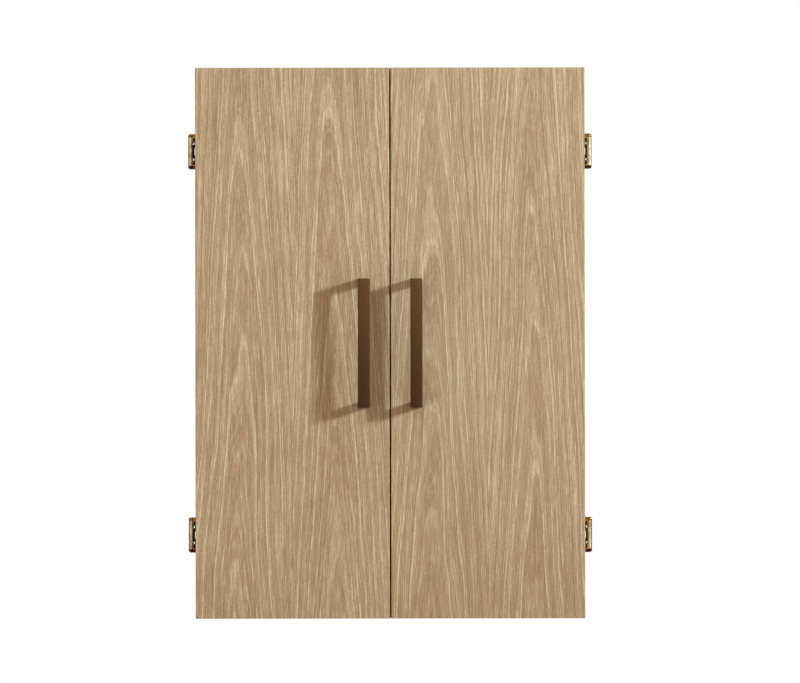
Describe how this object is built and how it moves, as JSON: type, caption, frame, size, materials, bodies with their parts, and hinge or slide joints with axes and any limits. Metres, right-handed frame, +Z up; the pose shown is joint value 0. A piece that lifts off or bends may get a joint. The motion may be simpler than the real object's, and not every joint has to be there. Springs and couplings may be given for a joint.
{
  "type": "dart board cabinet",
  "caption": "Wall-hung limed oak cabinet with two hinged doors and bar pulls, holding a dart board, chalk scoreboards and racked darts.",
  "frame": {"origin": "where the axis of the bull meets the wall, the middle of the four wall screws", "axes": "+X to the right as the cabinet is faced, +Y into the wall, +Z up"},
  "size_m": [0.581, 0.1615, 0.792],
  "materials": {
    "limed_oak": "limed plain-sawn oak veneer, satin lacquer",
    "birch_plywood": "sanded plywood",
    "brass": "polished",
    "dark_bronze": "satin dark bronze plate",
    "chalkboard": "hardboard with matt black chalkboard paint",
    "felt": "black felt",
    "steel": "zinc plated",
    "wire": "bright wire",
    "dart_steel": "knurled barrel, black stem and flights",
    "black_plastic": "moulded",
    "rubber": "matt",
    "sisal": "compressed sisal end grain",
    "chipboard": "raw chipboard"
  },
  "bodies": {
    "case": {"back_panel": "birch_plywood", "back_panel_screws": "steel", "bottom_panel": "limed_oak", "case_dowels": "birch_plywood", "case_leaf_screws": "brass", "catch_housings": "black_plastic", "catch_magnets": "steel", "catch_screws": "steel", "door_bumpers": "rubber", "felt_liner": "felt", "hanger_bracket": "steel", "hanger_bracket_screws": "steel", "hinge_pins": "brass", "left_lower_case_leaf": "brass", "left_side_panel": "limed_oak", "left_upper_case_leaf": "brass", "lower_hanging_rail": "limed_oak", "right_lower_case_leaf": "brass", "right_side_panel": "limed_oak", "right_upper_case_leaf": "brass", "top_panel": "limed_oak", "upper_hanging_rail": "limed_oak"},
    "dart_board": {"board_backing": "chipboard", "board_band": "steel", "board_bristle": "sisal", "hanging_screw": "steel", "number_ring": "wire", "spacer_feet": "rubber", "wire_spider": "wire"},
    "left_dart_body_1": {"left_dart_1": "dart_steel"},
    "left_dart_body_2": {"left_dart_2": "dart_steel"},
    "left_dart_body_3": {"left_dart_3": "dart_steel"},
    "left_door": {"left_dart_rack": "limed_oak", "left_door_leaf_screws": "brass", "left_door_panel": "limed_oak", "left_lower_door_leaf": "brass", "left_pull": "dark_bronze", "left_pull_screws": "steel", "left_rack_screws": "steel", "left_scoreboard": "chalkboard", "left_scoreboard_frame": "limed_oak", "left_strike_plate": "steel", "left_strike_screws": "steel", "left_upper_door_leaf": "brass"},
    "right_dart_body_1": {"right_dart_1": "dart_steel"},
    "right_dart_body_2": {"right_dart_2": "dart_steel"},
    "right_dart_body_3": {"right_dart_3": "dart_steel"},
    "right_door": {"right_dart_rack": "limed_oak", "right_door_leaf_screws": "brass", "right_door_panel": "limed_oak", "right_lower_door_leaf": "brass", "right_pull": "dark_bronze", "right_pull_screws": "steel", "right_rack_screws": "steel", "right_scoreboard": "chalkboard", "right_scoreboard_frame": "limed_oak", "right_strike_plate": "steel", "right_strike_screws": "steel", "right_upper_door_leaf": "brass"}
  },
  "joints": [
    {"name": "left_door_hinge", "type": "hinge", "parent": "case", "child": "left_door", "pos_m": [-0.28675, -0.09875, 0], "axis": [0, 0, -1], "range_deg": [0, 180]},
    {"name": "right_door_hinge", "type": "hinge", "parent": "case", "child": "right_door", "pos_m": [0.28675, -0.09875, 0], "axis": [0, 0, 1], "range_deg": [0, 180]},
    {"name": "board_lift_off", "type": "slide", "parent": "case", "child": "dart_board", "axis": [0, 0, 1], "range_m": [0, 0.016]},
    {"name": "left_dart_1_lift", "type": "slide", "parent": "left_door", "child": "left_dart_body_1", "axis": [0, 0, 1], "range_m": [0, 0.112]},
    {"name": "left_dart_2_lift", "type": "slide", "parent": "left_door", "child": "left_dart_body_2", "axis": [0, 0, 1], "range_m": [0, 0.112]},
    {"name": "left_dart_3_lift", "type": "slide", "parent": "left_door", "child": "left_dart_body_3", "axis": [0, 0, 1], "range_m": [0, 0.112]},
    {"name": "right_dart_1_lift", "type": "slide", "parent": "right_door", "child": "right_dart_body_1", "axis": [0, 0, 1], "range_m": [0, 0.112]},
    {"name": "right_dart_2_lift", "type": "slide", "parent": "right_door", "child": "right_dart_body_2", "axis": [0, 0, 1], "range_m": [0, 0.112]},
    {"name": "right_dart_3_lift", "type": "slide", "parent": "right_door", "child": "right_dart_body_3", "axis": [0, 0, 1], "range_m": [0, 0.112]}
  ]
}
